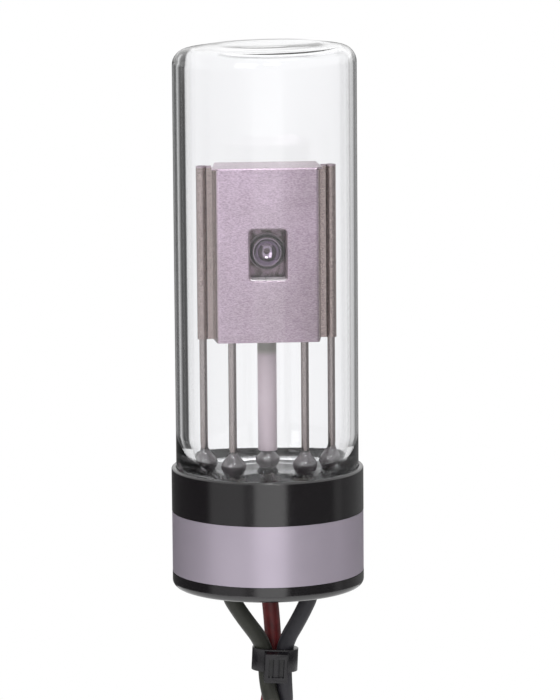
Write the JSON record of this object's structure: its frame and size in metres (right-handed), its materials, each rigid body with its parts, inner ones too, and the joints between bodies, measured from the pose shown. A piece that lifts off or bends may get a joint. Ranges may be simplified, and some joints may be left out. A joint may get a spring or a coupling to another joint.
{
  "type": "deuterium lamp",
  "caption": "Side-window deuterium discharge lamp: sealed glass bulb with a folded metal electrode box, moulded collar and three tied flying leads.",
  "frame": {"origin": "on the lamp's axis, in the middle of the bare clamping band at the top of the collar", "axes": "+Z along the axis towards the top of the bulb; -Y the way the window looks; +X to the right as seen from the front"},
  "size_m": [0.03, 0.03, 0.229],
  "materials": {
    "bulb_glass": "drawn, fire-polished",
    "stem_glass": "pressed and fused",
    "collar": "moulded, glossy",
    "label_film": "bare satin film",
    "nickel_sheet": "folded, satin",
    "aperture_metal": "heat-stained",
    "rod_metal": "drawn",
    "cathode_oxide": "coated wire",
    "alumina": "fired, matt",
    "cement": "set cement",
    "resin": "cast",
    "splice_metal": "tinned",
    "lead_olive_black": "matt",
    "lead_red": "satin",
    "lead_blue_black": "matt",
    "tie_polyamide": "moulded",
    "terminal_metal": "tinned"
  },
  "bodies": {
    "root": {"bulb": "bulb_glass", "stem": "stem_glass", "base_collar": "collar", "label_band": "label_film", "front_cover": "nickel_sheet", "rear_cover": "nickel_sheet", "window_shield": "nickel_sheet", "aperture_plate": "aperture_metal", "aperture_cup": "aperture_metal", "anode_plate": "aperture_metal", "outer_rod_left": "rod_metal", "outer_rod_right": "rod_metal", "inner_rod_left": "rod_metal", "inner_rod_right": "rod_metal", "anode_rod": "rod_metal", "cathode_coil": "cathode_oxide", "ceramic_sleeve": "alumina", "anode_insulator": "alumina", "cement_ring": "cement", "potting_plug": "resin", "splice_left": "splice_metal", "splice_anode": "splice_metal", "splice_right": "splice_metal", "lead_black_left": "lead_olive_black", "lead_red": "lead_red", "lead_black_right": "lead_blue_black", "cable_tie": "tie_polyamide", "terminal_left": "terminal_metal", "terminal_anode": "terminal_metal", "terminal_right": "terminal_metal"}
  },
  "joints": []
}
